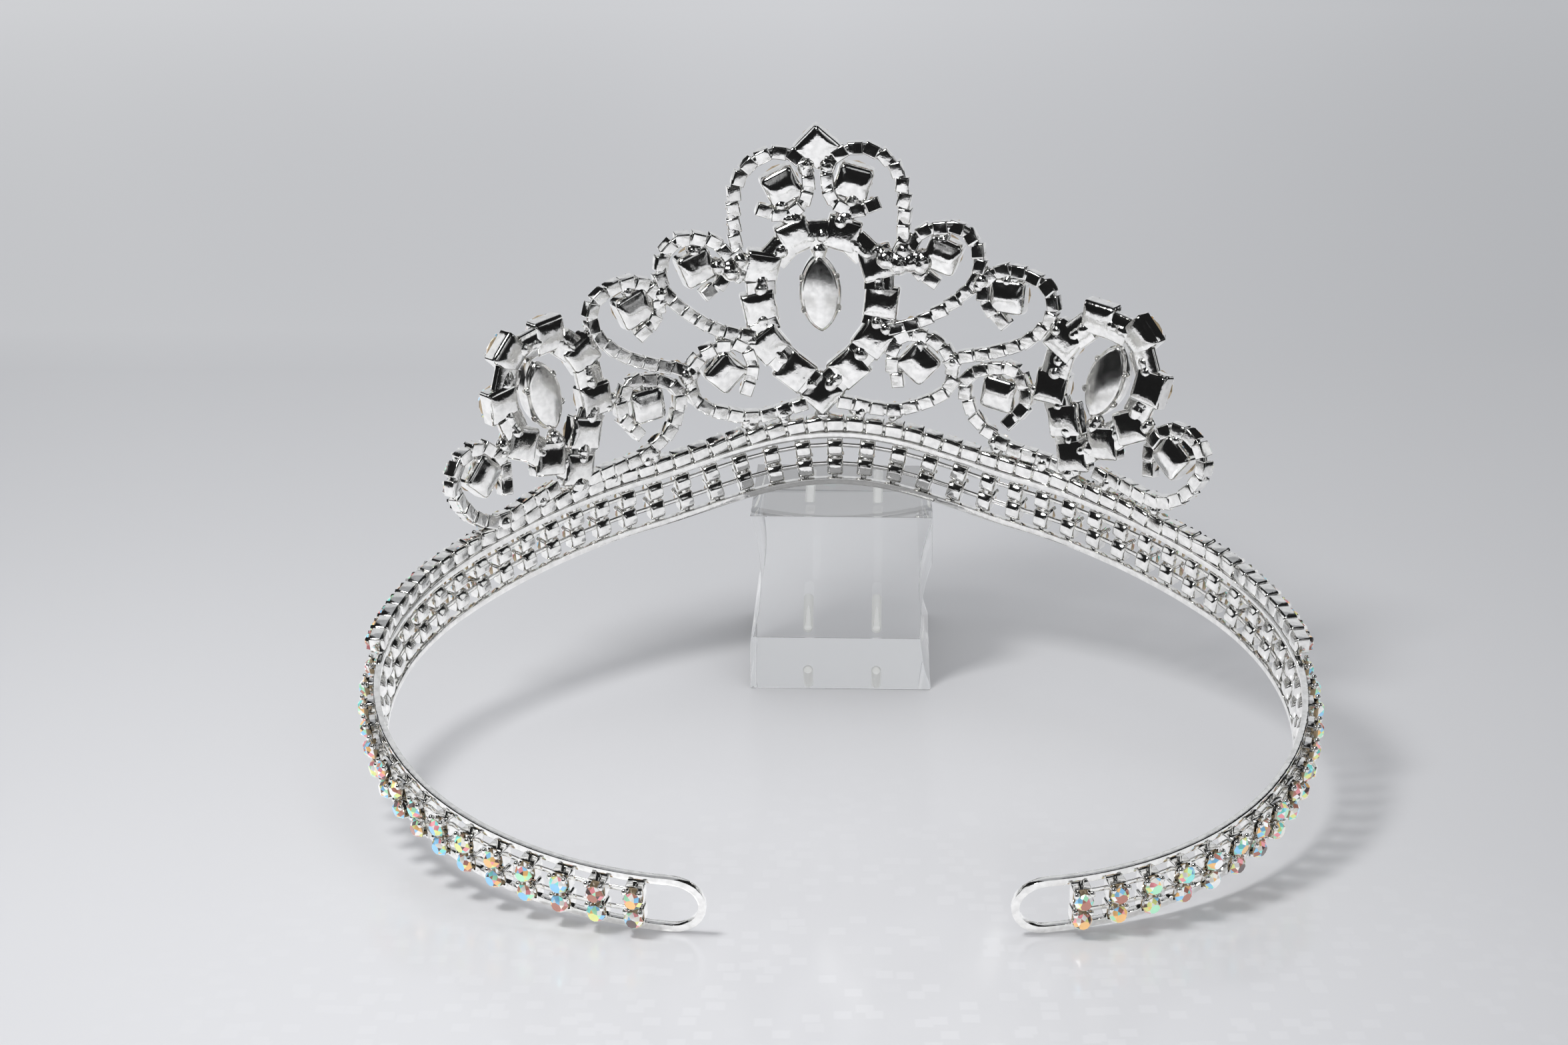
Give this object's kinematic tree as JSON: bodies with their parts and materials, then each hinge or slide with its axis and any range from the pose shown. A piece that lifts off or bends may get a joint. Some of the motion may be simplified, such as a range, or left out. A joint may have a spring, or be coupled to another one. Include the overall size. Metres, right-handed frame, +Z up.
{
  "type": "rhinestone tiara on an acrylic block stand",
  "caption": "Silver-tone tiara: open band of square stone cups, crest of curled scrolls and rings with pointed stones, resting on a clear block stand.",
  "frame": {"origin": "on the table, under the tiara's middle line, halfway along the block stand's foot", "axes": "+Z up, +Y the way the stones of the tiara's front face, +X to the right of someone who looks along +Y from inside the band"},
  "size_m": [0.1431, 0.1422, 0.0942],
  "materials": {
    "acrylic": "clear, polished",
    "silver_metal": "polished silver-tone plating",
    "crystal": "clear faceted crystal"
  },
  "bodies": {
    "root": {"stand": "acrylic", "tiara_metal": "silver_metal", "band_stones": "crystal", "crest_stones": "crystal", "oval_stones_left": "crystal", "oval_stones_right": "crystal", "ring_stone_1": "crystal", "ring_stone_2": "crystal", "ring_stone_3": "crystal", "ring_stone_4": "crystal", "ring_stone_5": "crystal", "ring_stone_6": "crystal", "ring_stone_7": "crystal", "ring_stone_8": "crystal", "ring_stone_9": "crystal", "ring_stone_10": "crystal", "ring_stone_11": "crystal", "finial_stone_left": "crystal", "finial_stone_right": "crystal", "upper_stone_left": "crystal", "upper_stone_right": "crystal", "outer_stone_left": "crystal", "outer_stone_right": "crystal", "side_stone_left": "crystal", "side_stone_right": "crystal", "foot_stone_left": "crystal", "foot_stone_right": "crystal", "end_stone_left": "crystal", "end_stone_right": "crystal", "finial_stone_top": "crystal", "navette_centre": "crystal", "navette_left": "crystal", "navette_right": "crystal"}
  },
  "joints": []
}
